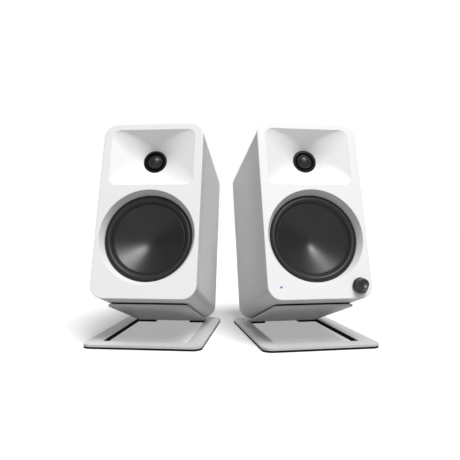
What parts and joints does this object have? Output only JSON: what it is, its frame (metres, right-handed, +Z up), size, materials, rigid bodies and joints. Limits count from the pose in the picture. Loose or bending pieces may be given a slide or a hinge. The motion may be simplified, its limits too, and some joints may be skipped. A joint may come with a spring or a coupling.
{
  "type": "desktop speakers",
  "caption": "White compact desktop speaker pair, cone woofer under a waveguide tweeter, each on a tilted bent-steel stand with foam pads; one has a volume knob.",
  "frame": {"origin": "on the desk, under the middle of the pair's bounding box", "axes": "+X across to the viewer's right, +Y to the back, +Z up; the speakers face -Y"},
  "size_m": [0.2728, 0.2014, 0.2141],
  "materials": {
    "stand_steel": "satin powder coat, light grey white",
    "black_foam": "matte closed-cell foam",
    "white_baffle": "fine matte white paint",
    "white_cabinet": "board cabinet under matte white laminate",
    "black_panel": "matte black powder coat",
    "black_plastic": "fine moulded texture",
    "plated_steel": "zinc plated",
    "black_steel": "blackened screws",
    "wadding": "loose polyester fibre",
    "driver_frame": "satin black",
    "surround_rubber": "satin butyl rubber",
    "cone": "satin, finely turned",
    "copper": "enamelled copper winding",
    "spider_cloth": "resin-treated cloth",
    "ferrite": "ground ferrite",
    "dome": "coated cloth dome, soft gloss",
    "gold_plate": "gold plated",
    "red_plastic": "gloss red",
    "black_gloss_plastic": "gloss black",
    "circuit_board": "solder mask",
    "heat_sink": "anodised",
    "knob_black": "soft-touch black",
    "blue_light": "small blue light lens"
  },
  "bodies": {
    "stands": {"left_stand_sheet": "stand_steel", "left_base_pad": "black_foam", "left_plate_pad": "black_foam", "right_stand_sheet": "stand_steel", "right_base_pad": "black_foam", "right_plate_pad": "black_foam"},
    "left_speaker": {"left_front_baffle": "white_baffle", "left_cabinet": "white_cabinet", "left_rear_panel": "black_panel", "left_bass_port": "black_plastic", "left_woofer_screws": "plated_steel", "left_panel_screws": "black_steel", "left_acoustic_wadding": "wadding", "left_woofer_basket": "driver_frame", "left_woofer_surround": "surround_rubber", "left_woofer_spider": "spider_cloth", "left_woofer_top_plate": "plated_steel", "left_woofer_magnet": "ferrite", "left_woofer_yoke": "plated_steel", "left_tweeter_faceplate": "driver_frame", "left_tweeter_motor": "ferrite", "left_terminal_posts": "gold_plate", "left_crossover_board": "circuit_board", "left_crossover_coil": "copper"},
    "left_cone": {"left_woofer_cone": "cone", "left_voice_coil": "copper"},
    "left_dome": {"left_tweeter_dome": "dome"},
    "left_red_cap": {"left_red_post_cap": "red_plastic"},
    "left_black_cap": {"left_black_post_cap": "black_gloss_plastic"},
    "right_speaker": {"right_front_baffle": "white_baffle", "right_cabinet": "white_cabinet", "right_rear_panel": "black_panel", "right_bass_port": "black_plastic", "right_woofer_screws": "plated_steel", "right_panel_screws": "black_steel", "right_acoustic_wadding": "wadding", "right_woofer_basket": "driver_frame", "right_woofer_surround": "surround_rubber", "right_woofer_spider": "spider_cloth", "right_woofer_top_plate": "plated_steel", "right_woofer_magnet": "ferrite", "right_woofer_yoke": "plated_steel", "right_tweeter_faceplate": "driver_frame", "right_tweeter_motor": "ferrite", "right_terminal_posts": "gold_plate", "right_amplifier_board": "circuit_board", "right_heat_sink": "heat_sink", "right_phono_sockets": "gold_plate", "right_power_inlet": "black_plastic", "right_data_socket": "plated_steel", "right_knob_encoder": "plated_steel", "right_status_light": "blue_light"},
    "right_cone": {"right_woofer_cone": "cone", "right_voice_coil": "copper"},
    "right_dome": {"right_tweeter_dome": "dome"},
    "right_red_cap": {"right_red_post_cap": "red_plastic"},
    "right_black_cap": {"right_black_post_cap": "black_gloss_plastic"},
    "knob_plunger": {"right_knob_plunger": "black_plastic"},
    "knob": {"right_volume_knob": "knob_black", "right_knob_shaft": "plated_steel"}
  },
  "joints": [
    {"name": "left_speaker_lift", "type": "slide", "parent": "stands", "child": "left_speaker", "axis": [0, 0, 1], "range_m": [0, 0.1]},
    {"name": "right_speaker_lift", "type": "slide", "parent": "stands", "child": "right_speaker", "axis": [0, 0, 1], "range_m": [0, 0.1]},
    {"name": "left_cone_travel", "type": "slide", "parent": "left_speaker", "child": "left_cone", "axis": [-0.0969, -0.9544, 0.2823], "range_m": [-0.0025, 0.0025], "stiffness_N_per_m": 800},
    {"name": "left_dome_travel", "type": "slide", "parent": "left_speaker", "child": "left_dome", "axis": [-0.0969, -0.9544, 0.2823], "range_m": [-0.0003, 0.0003], "stiffness_N_per_m": 40},
    {"name": "left_red_cap_turn", "type": "hinge", "parent": "left_speaker", "child": "left_red_cap", "pos_m": [-0.07581, 0.06602, 0.0383], "axis": [-0.0969, -0.9544, 0.2823], "range_deg": [0, 900]},
    {"name": "left_black_cap_turn", "type": "hinge", "parent": "left_speaker", "child": "left_black_cap", "pos_m": [-0.05691, 0.0641, 0.0383], "axis": [-0.0969, -0.9544, 0.2823], "range_deg": [0, 900]},
    {"name": "right_cone_travel", "type": "slide", "parent": "right_speaker", "child": "right_cone", "axis": [0.1666, -0.9447, 0.2823], "range_m": [-0.0025, 0.0025], "stiffness_N_per_m": 800},
    {"name": "right_dome_travel", "type": "slide", "parent": "right_speaker", "child": "right_dome", "axis": [0.1666, -0.9447, 0.2823], "range_m": [-0.0003, 0.0003], "stiffness_N_per_m": 40},
    {"name": "right_red_cap_turn", "type": "hinge", "parent": "right_speaker", "child": "right_red_cap", "pos_m": [0.04679, 0.05963, 0.0383], "axis": [0.1666, -0.9447, 0.2823], "range_deg": [0, 900]},
    {"name": "right_black_cap_turn", "type": "hinge", "parent": "right_speaker", "child": "right_black_cap", "pos_m": [0.0655, 0.06293, 0.0383], "axis": [0.1666, -0.9447, 0.2823], "range_deg": [0, 900]},
    {"name": "knob_press", "type": "slide", "parent": "right_speaker", "child": "knob_plunger", "axis": [-0.1666, 0.9447, -0.2823], "range_m": [0, 0.0007], "stiffness_N_per_m": 200, "springref_m": -0.005},
    {"name": "knob_turn", "type": "hinge", "parent": "knob_plunger", "child": "knob", "pos_m": [0.11988, -0.08538, 0.05895], "axis": [-0.1666, 0.9447, -0.2823], "continuous": true}
  ]
}
